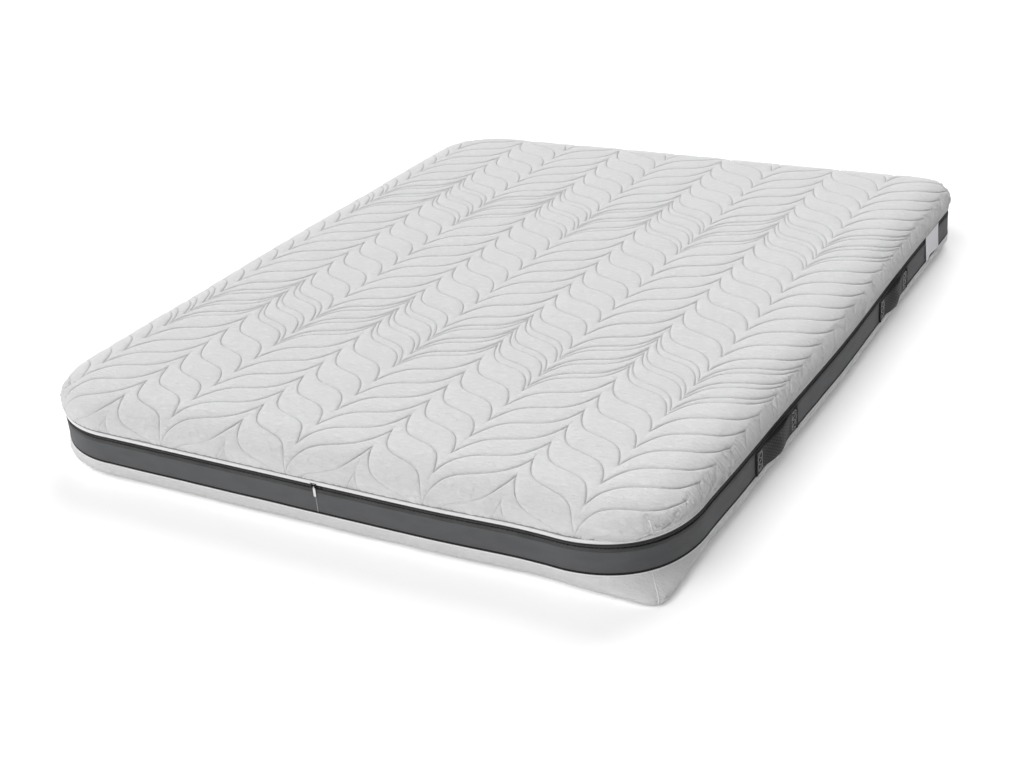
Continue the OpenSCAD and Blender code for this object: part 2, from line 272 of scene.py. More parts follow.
def shell(name, levels, material, closed=(True, True)):
    """A body lofted through (radii, inset, z) levels, closed below and above."""
    rings = []
    for radii, inset, z in levels:
        points, normals = outline_ring(radii, 0.02, 20)
        rings.append(np.c_[points - normals * inset, np.full(len(points), z)])
    count = len(rings[0])
    if closed[0]:
        rings = [rings[0] * (0.35, 0.35, 1.0), rings[0] * (0.7, 0.7, 1.0)] + rings
    if closed[1]:
        rings = rings + [rings[-1] * (0.7, 0.7, 1.0), rings[-1] * (0.35, 0.35, 1.0)]
    faces = [tuple(f) for f in grid_faces(len(rings), count, wrap_cols=True)]
    if closed[0]:
        faces.append(tuple(range(count))[::-1])
    if closed[1]:
        faces.append(tuple(range((len(rings) - 1) * count, len(rings) * count)))
    return new_object(name, np.concatenate(rings), faces, material)


def tube_between(start, end, radius, sides=6):
    """Vertices and faces of a short round stitch."""
    start, end = np.array(start, float), np.array(end, float)
    axis = (end - start) / np.linalg.norm(end - start)
    side = np.cross(axis, (0.3, 0.2, 0.9))
    side /= np.linalg.norm(side)
    other = np.cross(axis, side)
    tip = axis * radius * 0.6
    verts = []
    for centre, r in ((start - tip, 0.4), (start, 1.0), (end, 1.0), (end + tip, 0.4)):
        for i in range(sides):
            a = 2 * pi * i / sides
            verts.append(centre + (side * cos(a) + other * sin(a)) * radius * r)
    faces = [tuple(f) for f in grid_faces(4, sides, wrap_cols=True)]
    faces += [tuple(range(sides))[::-1], tuple(range(3 * sides, 4 * sides))]
    return verts, faces


def stitches(name, lines, material, radius=0.0008, length=0.0042, gap=0.0010):
    """Stitches along straight lines between points."""
    verts, faces = [], []
    for a, b in lines:
        a, b = np.array(a, float), np.array(b, float)
        span = np.linalg.norm(b - a)
        count = max(1, int(span / (length + gap)))
        for i in range(count):
            t0 = (i * (length + gap) + gap / 2) / span
            t1 = min(1.0, t0 + length / span)
            v, f = tube_between(a + (b - a) * t0, a + (b - a) * t1, radius)
            faces += [tuple(k + len(verts) for k in face) for face in f]
            verts += v
    return new_object(name, verts, faces, material)


# ---------------------------------------------------------------- quilting

def swing(x):
    """How far the quilting lines swing along the length at x, and their slope."""
    u = np.abs(((x - PEAK_X) / COLUMN + 0.5) % 1.0 - 0.5) * 2.0
    w = 1.0 - 2.0 * u
    slope = (SWING + 4 * HOOK * np.abs(w) ** 3) * 4.0 / COLUMN
    side = x > LAST_PEAK
    peak = SWING + HOOK
    dy = SWING * w + HOOK * w * np.abs(w) ** 3
    dy = np.where(side, peak - SIDE_SWING * (peak - dy), dy)
    return dy, np.where(side, SIDE_SWING * slope, slope)


def quilt_height(x, y):
    """Height of the puffs above their stitch lines, and nearness to those lines, where the knit paints grey
    thread and groove shade.
    """
    dy, slope = swing(x)
    n = (y - dy - LINE_START) / LINE_GAP
    line = np.floor(n + 1e-6)
    offset = (n - line) * LINE_GAP
    twin = np.isin(line, TWIN_LINES)
    upper = twin & (offset > TWIN_GAP - 1e-6)
    low = np.where(upper, TWIN_GAP, 0.0)
    high = np.where(twin & ~upper, TWIN_GAP, LINE_GAP)
    lean = 1.0 / np.sqrt(1.0 + slope ** 2)
    gap = (high - low) * lean
    near = np.clip(np.minimum(offset - low, high - offset), 0, None) * lean
    q = 1.0 - np.clip(near / (gap / 2), 0, 1)
    half = np.floor((x - PEAK_X) / COLUMN * 2)
    full = PUFF * (gap / LINE_GAP) ** 0.45
    full = full * (1 + 0.18 * lattice_noise(line * 1.7 + 0.5, half + 0.5, 5))
    rise = 1 - np.exp(-near / 0.0026)
    crinkle = lattice_noise(x / 0.009, y / 0.007, 6) * bump_at(np.abs(slope) - 3.3, 0.9) * 0.0009
    height = full * rise * (0.72 + 0.28 * (1 - q * q)) - 0.0022 * bump_at(near, 0.0013) + crinkle * rise
    return height, bump_at(near, 0.0016)


# Rows of the quilting mesh, in mm from a stitch line: plain lines, and lines with a twin
FINE_ROWS = (0, 0.9, 2.1, 4.2, 8, 15, 25, 36.5, 48, 58, 65, 68.9, 71, 72.2)
FINE_TWIN_ROWS = (0, 0.9, 2.1, 4.5, 9, 15, 19.5, 21.9, 23.1, 24,
                  24.9, 26.1, 29, 36, 48.5, 60, 66, 69, 71, 72.2)
PLAIN_ROWS = (0, 2, 7, 18, 36.5, 55, 66, 71)
PLAIN_TWIN_ROWS = (0, 2, 7, 12, 17, 22, 24, 26, 34, 48, 62, 71)


def quilt_grid(half_w, half_l, radii, per_half_column, rows, twin_rows):
    """A flat mesh of a rounded rectangle whose rows follow the stitch lines. Returns x, y and faces."""
    t = np.arange(per_half_column) / per_half_column
    t = t - 0.7 * np.sin(2 * pi * t) / (2 * pi)        # closer together at the hooks of the lines
    first = np.floor((-half_w - PEAK_X) / COLUMN * 2)
    halves = np.arange(first, np.ceil((half_w - PEAK_X) / COLUMN * 2) + 1)
    xs = PEAK_X + COLUMN / 2 * (halves[:, None] + t[None, :]).ravel()
    reach = half_l + SWING + HOOK
    lines = range(int(np.floor((-reach - LINE_START) / LINE_GAP)),
                  int(np.ceil((reach - LINE_START) / LINE_GAP)))
    levels = [LINE_START + line * LINE_GAP + o * MM
              for line in lines for o in (twin_rows if line in TWIN_LINES else rows)]
    x = np.tile(xs, (len(levels), 1))
    y = np.array(levels)[:, None] + swing(xs)[0][None, :]
    quads = grid_faces(*x.shape)
    x, y = x.ravel(), y.ravel()
    distance, nx, ny = outline_distance(x, y, half_w, half_l, radii)
    quads = quads[(distance < -1e-5)[quads].any(axis=1)]
    over = np.maximum(distance, 0)
    return x - nx * over, y - ny * over, quads


def edge_curve():
    """The cover's section from the flat top over the rounded edge to the hem: length, run and height."""
    t = np.linspace(0, pi / 2, 40)
    f = np.linspace(0.2, 1, 5)
    run = np.concatenate([EDGE_A * np.sin(t), EDGE_A - NIP * f * f])
    z = np.concatenate([EDGE_Z + EDGE_B * np.cos(t), EDGE_Z + (SKIRT_Z - EDGE_Z) * f])
    return run_length(np.c_[run, z]), run, z


EDGE_LENGTH = edge_curve()[0][-1]


def cover_grid(per_half_column, rows, twin_rows):
    """The top cover laid flat, with its skirts: x, y and faces."""
    radii = [r - EDGE_A + EDGE_LENGTH for r in TOP_R]
    return quilt_grid(HALF_W - EDGE_A + EDGE_LENGTH, HALF_L - EDGE_A + EDGE_LENGTH, radii,
                      per_half_column, rows, twin_rows)


def top_cover_surface(x, y):
    """Maps the flat cover onto the mattress: over the rounded edge and down to the hem."""
    flat_r = [r - EDGE_A for r in TOP_R]
    s, nx, ny = outline_distance(x, y, HALF_W - EDGE_A, HALF_L - EDGE_A, flat_r)
    s = np.maximum(s, 0)
    length, run, z = edge_curve()
    outward = np.interp(s, length, run)
    px, py = x - nx * s + nx * outward, y - ny * s + ny * outward
    pz = np.interp(s, length, z)
    # Corners tuck in from the tight upper outline to the rounder band
    out, gx, gy = outline_distance(px, py, HALF_W - NIP, HALF_L - NIP, [r - NIP for r in BAND_R])
    out = np.where(s > 0, out, 0) * smooth(TUCK_Z, SKIRT_Z, pz)
    return np.c_[px - gx * out, py - gy * out, pz], s, nx, ny


def vertex_normals(verts, quads):
    a, b, c, d = (verts[quads[:, k]] for k in range(4))
    face = np.cross(c - a, d - b)
    normals = np.zeros_like(verts)
    for k in range(4):
        np.add.at(normals, quads[:, k], face)
    return normals / np.maximum(np.linalg.norm(normals, axis=1, keepdims=True), 1e-12)


def corner_seam(nx, ny, s):
    """Distance from the tailored seam at each corner, and where that seam runs."""
    diagonal = np.abs(np.arctan2(np.abs(ny), np.abs(nx)) - CORNER_SEAM) * SEAM_REACH
    corner = (np.abs(nx) > 0.05) & (np.abs(ny) > 0.05)
    return diagonal, np.where(corner, smooth(0.030, 0.050, s), 0)


def top_cover_relief(x, y, s, nx, ny):
    """Puffs, wrinkles and corner seams of the top cover."""
    total = EDGE_LENGTH
    skirt = smooth(0.030, 0.090, s)
    end_skirt = skirt * smooth(0.5, 0.9, np.abs(ny))
    side_skirt = smooth(0.045, 0.085, s) * smooth(0.5, 0.9, np.abs(nx))
    above_hem = 1 - smooth(total - 0.014, total - 0.004, s)
    height = quilt_height(x, y)[0] * (1 - 0.55 * end_skirt - 0.45 * side_skirt) * above_hem
    # Gathers down the long sides, kept off the corners and the hem
    rib = lattice_noise(y / 0.0085 + s / 0.030, s / 0.07, 11)
    rib = rib + 0.8 * lattice_noise(y / 0.018 + 3, s / 0.10, 12)
    straight = smooth(0.90, 0.99, np.abs(nx))
    height += 0.0017 * rib * side_skirt * straight * (1 - smooth(total - 0.006, total, s))
    front = lattice_noise(x / 0.07, s / 0.05, 13) + 0.4 * lattice_noise(x / 0.02, s / 0.04, 14)
    height += 0.0008 * front * end_skirt
    # The quilting draws the edge in just where it rolls over
    height -= 0.0022 * bump_at(s - 0.034, 0.020) * smooth(0.5, 0.9, np.abs(ny))
    height += 0.0012 * lattice_noise(x / 0.16, y / 0.16, 15) * (1 - skirt)
    hem_groove = 0.0018 * bump_at(s - (total - 0.0075), 0.0024)
    height -= hem_groove + 0.0007 * bump_at(s - (total - 0.018), 0.0022)
    diagonal, seam = corner_seam(nx, ny, s)
    pucker = lattice_noise(diagonal / 0.010, s / 0.008, 16)
    height += seam * (0.0032 * pucker * bump_at(diagonal, 0.024) - 0.0024 * bump_at(diagonal, 0.0060))
    return height - PUFF_DROP * (1 - smooth(total - 0.03, total, s))


def make_top_cover(material):
    x, y, quads = cover_grid(30, FINE_ROWS, FINE_TWIN_ROWS)
    points, s, nx, ny = top_cover_surface(x, y)
    height = top_cover_relief(x, y, s, nx, ny)
    points = points + vertex_normals(points, quads) * height[:, None]
    obj = new_object("top_cover_quilt", points, quads, material)
    # sewn: nearness to the stitch lines, weaker on the skirts, where the knit paints grey thread and groove
    # shade
    add_weight(obj, "sewn", quilt_height(x, y)[1] * (1 - 0.7 * smooth(0.05, 0.10, s)))
    add_weight(obj, "gathered", smooth(0.050, 0.085, s) * smooth(0.6, 0.95, np.abs(nx)))
    clean_mesh(obj)
    return obj


def make_top_lining(material):
    """The quilted cover's inner side."""
    x, y, quads = cover_grid(6, PLAIN_ROWS, PLAIN_TWIN_ROWS)
    points, s = top_cover_surface(x, y)[:2]
    thinner = 0.0028 * smooth(EDGE_LENGTH - 0.02, EDGE_LENGTH, s)
    depth = COVER_DEPTH - thinner - 0.25 * quilt_height(x, y)[0]
    points = points - vertex_normals(points, quads) * depth[:, None]
    obj = new_object("top_cover_lining", points, quads, material)
    clean_mesh(obj)
    return obj


def unit(vectors):
    return vectors / np.maximum(np.linalg.norm(vectors, axis=-1, keepdims=True), 1e-12)


def make_corner_ridges(material):
    """The narrow welt of each tailored corner seam on the top cover."""
    verts, faces = [], []
    count, sides = 26, 8
    s = np.linspace(0.042, EDGE_LENGTH - 0.009, count)
    for k, (sx, sy) in enumerate(QUADRANTS):
        lines = []
        for angle in (CORNER_SEAM - 0.03, CORNER_SEAM + 0.03, CORNER_SEAM):
            nx, ny = np.full(count, sx * cos(angle)), np.full(count, sy * sin(angle))
            reach = TOP_R[k] - EDGE_A + s
            x = sx * (HALF_W - TOP_R[k]) + nx * reach
            y = sy * (HALF_L - TOP_R[k]) + ny * reach
            lines.append(top_cover_surface(x, y)[0])
        side = unit(lines[1] - lines[0])
        out = unit(np.cross(side, np.gradient(lines[2], axis=0)))
        out = out * np.sign(out[:, :1] * sx)
        points = lines[2] + out * (top_cover_relief(x, y, s, nx, ny) + 0.0004)[:, None]
        base = len(verts)
        for p, o, d, f in zip(points, out, side, np.linspace(0, 1, count)):
            thick = 0.0018 * (0.3 + 0.7 * min(1.0, 6 * f, 8 * (1 - f)))
            verts += [p + (o * cos(a) + d * sin(a)) * thick for a in np.arange(sides) * 2 * pi / sides]
        faces += [tuple(q + base) for q in grid_faces(count, sides, wrap_cols=True)]
        faces += [tuple(range(base, base + sides))[::-1], tuple(range(len(verts) - sides, len(verts)))]
    return new_object("top_corner_seams", verts, faces, material)


# ---------------------------------------------------------------- bottom cover

# The skirt's section from the floor up: inset, z, share of the band's outline in the base's
BASE_SECTION = (
    (0.0520, 0.0000, 0.00), (0.0400, 0.0000, 0.00), (0.0320, 0.0006, 0.00),
    (0.0255, 0.0024, 0.00), (0.0200, 0.0054, 0.00), (0.0150, 0.0094, 0.03),
    (0.0108, 0.0142, 0.08), (0.0076, 0.0196, 0.22), (0.0052, 0.0254, 0.42),
    (0.0034, 0.0312, 0.66), (0.0024, 0.0362, 0.86), (0.0026, 0.0402, 0.96),
    (0.0040, 0.0432, 1.00), (0.0060, 0.0452, 1.00),
)


def side_runs(radii, counts):
    """The outline as four runs between corner middles, each with its own number of points."""
    runs = []
    for k in range(4):
        (sx, sy), (mx, my) = QUADRANTS[k], QUADRANTS[(k + 1) % 4]
        r0, r1 = radii[k], radii[(k + 1) % 4]
        turn = pi / 2 * (k + 1)
        reach = CORNER_SEAM if k % 2 else pi / 2 - CORNER_SEAM
        line = [(sx * (HALF_W - r0) + r0 * cos(a), sy * (HALF_L - r0) + r0 * sin(a), a)
                for a in np.linspace(turn - reach, turn, 16)]
        line += [(mx * (HALF_W - r1) + r1 * cos(a), my * (HALF_L - r1) + r1 * sin(a), a)
                 for a in np.linspace(turn, turn + reach, 16)]
        line = np.array(line)
        along = run_length(line[:, :2])
        t = np.linspace(0, along[-1], counts[k])
        a = np.interp(t, along, line[:, 2])
        runs.append((np.c_[np.interp(t, along, line[:, 0]), np.interp(t, along, line[:, 1])],
                     np.c_[np.cos(a), np.sin(a)]))
    return runs


def base_side(k, upper, lower):
    """One side of the bottom cover's skirt as rows of points."""
    (up, un), (lo, ln) = upper[k], lower[k]
    length = run_length(lo)
    ends = np.minimum(length, length[-1] - length)
    rows = []
    for inset, z, share in BASE_SECTION:
        n = un * share + ln * (1 - share)
        n = n / np.linalg.norm(n, axis=1, keepdims=True)
        belly = sin(pi * min(z / SEAM_Z + 0.12, 1.0))
        wave = lattice_noise(length / 0.055 + 7 * k, z / 0.03, 21 + k)
        fine = lattice_noise(length / 0.014 + 9 * k, z / 0.018 + length / 0.05, 31 + k)
        crease = lattice_noise(length / 0.016 + z / 0.010, z / 0.024, 51 + k)
        crease = crease * (1 - smooth(0.05, 0.26, ends))
        tight = lattice_noise(length / 0.0075, z / 0.03, 61 + k) * smooth(0.024, 0.040, z)
        push = 0.0016 * wave + 0.0012 * fine + 0.0030 * crease + 0.0011 * tight
        push = push * belly * smooth(0.0, 0.02, ends)
        push = push - 0.0026 * bump_at(ends, 0.0040) * belly + 0.0014 * bump_at(ends - 0.009, 0.005) * belly
        low = 0.5 + 0.5 * lattice_noise(length / 0.10 + 5 * k, 0.5, 41 + k)
        low = 0.0024 * low * (0.0004 < z < 0.02)
        xy = up * share + lo * (1 - share) - n * (inset - push[:, None])
        rows.append(np.c_[xy, np.full(len(xy), z) + low * smooth(0.0, 0.05, ends)])
    return np.array(rows)


def make_bottom_skirt(material):
    """Skirt of the bottom cover: round corners at the band, tighter tailored corners near the floor."""
    counts = (230, 290, 230, 290)
    upper, lower = side_runs(BAND_R, counts), side_runs(BASE_R, counts)
    verts, faces, base = [], [], 0
    for k in range(4):
        rows = base_side(k, upper, lower)
        verts.append(rows.reshape(-1, 3))
        faces.append(grid_faces(len(rows), counts[k]) + base)
        base += rows.shape[0] * counts[k]
    obj = new_object("bottom_cover_skirt", np.concatenate(verts), np.concatenate(faces), material)
    clean_mesh(obj, 2e-4)
    return obj


def make_base_ridges(material):
    """The upright welts where the bottom cover's four panels are joined."""
    lower = side_runs(BASE_R, (60, 60, 60, 60))
    upper = side_runs(BAND_R, (60, 60, 60, 60))
    verts, faces = [], []
    sides = 8
    for k in range(4):
        rows = []
        (up, un), (lo, ln) = upper[k], lower[k]
        for inset, z, share in BASE_SECTION[3:-1]:
            n = un[0] * share + ln[0] * (1 - share)
            n = n / np.linalg.norm(n)
            xy = up[0] * share + lo[0] * (1 - share) - n * (inset + 0.0012)
            rows.append((np.array([*xy, z]), np.array([*n, 0.0])))
        base = len(verts)
        for p, n in rows:
            side = np.cross(n, (0, 0, 1))
            for i in range(sides):
                a = 2 * pi * i / sides
                verts.append(p + (n * cos(a) * 1.5 + side * sin(a)) * 0.0015)
        faces += [tuple(q + base) for q in grid_faces(len(rows), sides, wrap_cols=True)]
        faces += [tuple(range(base, base + sides))[::-1], tuple(range(len(verts) - sides, len(verts)))]
    return new_object("bottom_corner_seams", verts, faces, material)


def make_underside(material):
    inset = 0.051
    radii = [max(r - inset, 0.006) for r in BASE_R]
    x, y, quads = quilt_grid(HALF_W - inset, HALF_L - inset, radii, 8, PLAIN_ROWS, PLAIN_TWIN_ROWS)
    z = np.clip(PUFF * 0.75 - quilt_height(x, y)[0], 0, None) * 0.6
    z = z * smooth(0.0, 0.02, -outline_distance(x, y, HALF_W - inset, HALF_L - inset, radii)[0])
    obj = new_object("bottom_cover_underside", np.c_[x, y, z], quads[:, ::-1], material)
    clean_mesh(obj)
    return obj


# ---------------------------------------------------------------- handles and label

HANDLE_LO, HANDLE_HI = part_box("handle_front_right")
PATCH_LO, PATCH_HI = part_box("handle_patches_front_right")
WEB_HALF = (PATCH_HI[1] - PATCH_LO[1]) / 2      # half the webbing's length with its sewn ends
FREE_HALF = 0.085                               # half the part that isn't sewn down
WEB_Z = (HANDLE_LO[2], HANDLE_HI[2])
WEB_X = HALF_W - 0.0036
WEB_THICK = 0.0025
BOW = 0.0115                                    # how far the middle stands off the band
DROOP = 0.0075                                  # how far the lower edge hangs down in the middle
END_TAPE = 0.0075                               # width of the tape over each end of the webbing


def web_place(side, y0, u, v, depth):
    """A point of the webbing: u along it, v from its lower to its upper edge."""
    free = np.cos(np.clip(u / FREE_HALF, -1, 1) * pi / 2) ** 2
    z = WEB_Z[0] + (WEB_Z[1] - WEB_Z[0]) * v - free * DROOP * (1 - v) ** 1.2
    x = WEB_X + BOW * free * (0.55 + 0.45 * np.sin(pi * np.clip(1 - v * 0.85, 0, 1))) + depth
    x = x + 0.0006 * np.sin(u * 90 + v * 4) * free
    return np.stack([side * x, y0 + u, z], -1)


def make_webbing(name, side, y0, half, material):
    """Half of a handle's webbing: half is -1 for its front part and 1 for its rear part."""
    u = np.linspace(0, WEB_HALF, 47) * half
    v = np.linspace(0, 1, 15)
    edge = 0.0006 * np.abs(2 * v - 1) ** 8
    U, V = np.meshgrid(u, v, indexing="ij")
    fold = 0.0012 * smooth(WEB_HALF - 0.006, WEB_HALF - 0.004, np.abs(U))
    outer = web_place(side, y0, U, V, WEB_THICK - edge[None, :] + fold)
    inner = web_place(side, y0, U, V, edge[None, :])
    loop = np.concatenate([outer, inner[:, ::-1]], axis=1)
    faces = [tuple(f) for f in grid_faces(len(u), loop.shape[1], wrap_cols=True)]
    ring = loop.shape[1]
    faces += [tuple(range(ring))[::-1], tuple(range((len(u) - 1) * ring, len(u) * ring))]
    if side * half > 0:
        faces = [f[::-1] for f in faces]
    place_u = np.concatenate([U, U[:, ::-1]], axis=1)
    place_v = np.concatenate([V, V[:, ::-1]], axis=1) * (WEB_Z[1] - WEB_Z[0])
    obj = new_object(name, loop.reshape(-1, 3), faces, material)
    return add_weave(obj, np.stack([place_u, place_v, place_u * 0], -1).reshape(-1, 3))


def make_end_tapes(name, side, y0, material):
    """The narrow black tapes that bind the two ends of a handle's webbing."""
    verts, faces, weave = [], [], []
    profile = rounded_profile(0.0, 0.0024, 0.0, END_TAPE, 0.0009)
    z = np.linspace(WEB_Z[0] - 0.001, WEB_Z[1] + 0.001, 12)
    for half in (-1, 1):
        base = len(verts)
        for depth, along in profile:
            for height in z:
                wave = 0.0003 * sin(height * 300 + half)
                x = side * (WEB_X + WEB_THICK - 0.0010 + depth + wave)
                verts.append((x, y0 + half * (WEB_HALF + 0.001 - along), height))
                weave.append((along, height, 0))
        ring = grid_faces(len(profile), len(z), wrap_rows=True)
        faces += [tuple(q + base) for q in (ring if side * half > 0 else ring[:, ::-1])]
        ends = [tuple(base + i * len(z) + end for i in range(len(profile))) for end in (0, len(z) - 1)]
        faces += [ends[0][::-1], ends[1]] if side * half > 0 else [ends[0], ends[1][::-1]]
    return add_weave(new_object(name, verts, faces, material), weave)


def handle_stitch_lines(side, y0):
    """Zigzag stitching in a sewn box at each end of the webbing."""
    x = side * (WEB_X + WEB_THICK + 0.0003)
    low, high = WEB_Z[0] + 0.005, WEB_Z[1] - 0.005
    lines = []
    for half in (-1, 1):
        a, b = y0 + half * (WEB_HALF - END_TAPE - 0.0012), y0 + half * (FREE_HALF - 0.001)
        corners = [(x, a, low), (x, b, low), (x, b, high), (x, a, high)]
        lines += [(corners[i], corners[(i + 1) % 4]) for i in range(4)]
        levels = np.linspace(low, high, 6)
        lines += [((x, (a, b)[i % 2], levels[i]), (x, (b, a)[i % 2], levels[i + 1])) for i in range(5)]
    return lines


def make_label(material):
    low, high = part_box("care_label")
    u = np.linspace(0, 1, 24)
    v = np.linspace(0, 1, 18)
    U, V = np.meshgrid(u, v, indexing="ij")
    curl = 0.0012 + 0.0030 * (1 - V) ** 2 * (0.5 + 0.5 * np.cos(2 * pi * U))
    curl = curl + 0.0008 * np.sin(U * 9 + 1) * (1 - V)
    x = low[0] + curl
    y = low[1] + (high[1] - low[1]) * U
    z = low[2] + (high[2] - low[2]) * V
    faces = grid_faces(len(u), len(v))[:, ::-1]
    obj = new_object("care_label_satin", np.stack([x, y, z], -1).reshape(-1, 3), faces, material)
    thick = obj.modifiers.new("thickness", "SOLIDIFY")
    thick.thickness = 0.0005
    bpy.context.view_layer.objects.active = obj
    obj.select_set(True)
    bpy.ops.object.modifier_apply(modifier="thickness")
    return obj, (high[1] - low[1], high[2] - low[2])


# ---------------------------------------------------------------- materials

def shader(name, color, roughness, sheen=0.0, metallic=0.0, specular=0.3):
    mat = bpy.data.materials.new(name)
    mat.use_nodes = True
    bsdf = mat.node_tree.nodes["Principled BSDF"]
    bsdf.inputs["Base Color"].default_value = (*color, 1)
    bsdf.inputs["Roughness"].default_value = roughness
    bsdf.inputs["Metallic"].default_value = metallic
    bsdf.inputs["Specular IOR Level"].default_value = specular
    bsdf.inputs["Sheen Weight"].default_value = sheen
    bsdf.inputs["Sheen Roughness"].default_value = 0.5
    return mat, mat.node_tree, bsdf


def texture(tree, kind, stretch=(1, 1, 1), turn=(0, 0, 0), woven=False, **settings):
    """A texture node, stretched and turned, in object coordinates or in the cloth's own."""
    source = tree.nodes.new("ShaderNodeAttribute" if woven else "ShaderNodeTexCoord")
    if woven:
        source.attribute_name = "weave"
    mapping = tree.nodes.new("ShaderNodeMapping")
    mapping.inputs["Scale"].default_value = stretch
    mapping.inputs["Rotation"].default_value = turn
    made = tree.nodes.new(kind)
    for key, value in settings.items():
        if key in made.inputs:
            made.inputs[key].default_value = value
        else:
            setattr(made, key, value)
    tree.links.new(source.outputs["Vector" if woven else "Object"], mapping.inputs["Vector"])
    tree.links.new(mapping.outputs["Vector"], made.inputs["Vector"])
    return made


def ramp(tree, value, low, high, out_low=0.0, out_high=1.0):
    made = tree.nodes.new("ShaderNodeMapRange")
    made.interpolation_type = "SMOOTHSTEP"
    for key, number in (("From Min", low), ("From Max", high), ("To Min", out_low), ("To Max", out_high)):
        made.inputs[key].default_value = number
    tree.links.new(value, made.inputs["Value"])
    return made.outputs["Result"]


def mix_colors(tree, factor, a, b):
    mix = tree.nodes.new("ShaderNodeMix")
    mix.data_type = "RGBA"
    for socket, value in ((mix.inputs[0], factor), (mix.inputs[6], a), (mix.inputs[7], b)):
        if isinstance(value, tuple):
            socket.default_value = (*value, 1)
        else:
            tree.links.new(value, socket)
    return mix.outputs[2]


def add_bump(tree, bsdf, height, distance, strength=1.0, after=None):
    bump = tree.nodes.new("ShaderNodeBump")
    bump.inputs["Distance"].default_value = distance
    bump.inputs["Strength"].default_value = strength
    tree.links.new(height, bump.inputs["Height"])
    if after is not None:
        tree.links.new(after, bump.inputs["Normal"])
    tree.links.new(bump.outputs["Normal"], bsdf.inputs["Normal"])
    return bump.outputs["Normal"]


def scaled(color, amount):
    return tuple(min(1.0, c * amount) for c in color)


def knit_material(name, color, dots=1.0, streaks=1.0, sewn=False):
    """White jacquard knit: short ribs across, small raised spots, and on the quilted top cover also
    grey thread and painted groove shade along the stitch lines, and fine gathers down the sides."""
    mat, tree, bsdf = shader(name, color, 0.92, sheen=0.12, specular=0.12)
    streak = texture(tree, "ShaderNodeTexNoise", (55, 300, 170), Scale=1.0, Detail=3.0, Roughness=0.65)
    patch = texture(tree, "ShaderNodeTexNoise", Scale=11.0, Detail=4.0)
    cell = texture(tree, "ShaderNodeTexVoronoi", (0.55, 1.0, 0.55), Scale=62.0, Randomness=0.75)
    spot = ramp(tree, cell.outputs["Distance"], 0.18, 0.36, 1.0, 0.0)
    loops = texture(tree, "ShaderNodeTexVoronoi", (1.0, 0.7, 1.0), Scale=420.0, Randomness=0.3)
    base = mix_colors(tree, patch.outputs["Fac"], scaled(color, 0.965), scaled(color, 1.02))
    paler = ramp(tree, streak.outputs["Fac"], 0.35, 0.68, 0.0, 0.8 * streaks)
    base = mix_colors(tree, paler, base, scaled(color, 1.045))
    paler = ramp(tree, spot, 0.0, 1.0, 0.0, 0.8 * dots)
    base = mix_colors(tree, paler, base, scaled(color, 1.06))
    if sewn:
        line = tree.nodes.new("ShaderNodeAttribute")
        line.attribute_name = "sewn"
        # Darkens the knit along the stitch lines: partly grey thread, partly painted shade of the grooves
        thread_and_groove_shade = ramp(tree, line.outputs["Fac"], 0.25, 0.95, 0.0, 0.27)
        base = mix_colors(tree, thread_and_groove_shade, base, scaled(color, 0.52))
    tree.links.new(base, bsdf.inputs["Base Color"])
    crease = texture(tree, "ShaderNodeTexNoise", (38, 75, 60), Scale=1.0, Detail=5.0,
                     Roughness=0.7, Distortion=0.6)
    normal = add_bump(tree, bsdf, crease.outputs["Fac"], 0.0075, 0.50 * streaks)
    if sewn:
        gathered = tree.nodes.new("ShaderNodeAttribute")
        gathered.attribute_name = "gathered"
        wrinkle = texture(tree, "ShaderNodeTexNoise", (14, 190, 16), (0.35, 0, 0), Scale=1.0, Detail=3.0,
                          Roughness=0.6, Distortion=0.8)
        amount = tree.nodes.new("ShaderNodeMath")
        amount.operation = "MULTIPLY"
        tree.links.new(wrinkle.outputs["Fac"], amount.inputs[0])
        tree.links.new(gathered.outputs["Fac"], amount.inputs[1])
        normal = add_bump(tree, bsdf, amount.outputs["Value"], 0.0110, 0.9, normal)
    normal = add_bump(tree, bsdf, streak.outputs["Fac"], 0.0028, 0.9 * streaks, normal)
    normal = add_bump(tree, bsdf, spot, 0.0007, 0.7 * dots, normal)
    add_bump(tree, bsdf, loops.outputs["Distance"], 0.0006, 0.35, normal)
    return mat


def mesh_material(name, color, cell=0.0032, sheen=0.08, contrast=0.18, woven=True):
    """Dark spacer mesh or twill: a fine grid of holes that runs aslant."""
    slant = 0.6
    mat, tree, bsdf = shader(name, color, 0.85, sheen=sheen, specular=0.2)
    pores = texture(tree, "ShaderNodeTexVoronoi", (1, 1.35, 1), (0, 0, slant), woven, Scale=1.0 / cell,
                    Randomness=0.12)
    patch = texture(tree, "ShaderNodeTexNoise", (1, 1, 3), Scale=16.0, Detail=4.0)
    grain = texture(tree, "ShaderNodeTexNoise", Scale=700.0, Detail=2.0)
    tone = mix_colors(tree, ramp(tree, pores.outputs["Distance"], 0.1, 0.6), scaled(color, 1 - contrast),
                      scaled(color, 1 + contrast))
    tone = mix_colors(tree, ramp(tree, grain.outputs["Fac"], 0.3, 0.7, 0.0, 0.35), tone, scaled(color, 1.3))
    tone = mix_colors(tree, ramp(tree, patch.outputs["Fac"], 0.35, 0.7, 0.0, 0.5), tone, scaled(color, 0.9))
    tree.links.new(tone, bsdf.inputs["Base Color"])
    add_bump(tree, bsdf, pores.outputs["Distance"], 0.0009, 0.6)
    return mat


def foam_material(name, color, cell):
    mat, tree, bsdf = shader(name, color, 0.95, specular=0.1)
    pores = texture(tree, "ShaderNodeTexVoronoi", Scale=1.0 / cell)
    patch = texture(tree, "ShaderNodeTexNoise", Scale=6.0, Detail=5.0)
    tone = mix_colors(tree, patch.outputs["Fac"], scaled(color, 0.93), color)
    tree.links.new(tone, bsdf.inputs["Base Color"])
    add_bump(tree, bsdf, pores.outputs["Distance"], 0.0010, 0.7)
    return mat


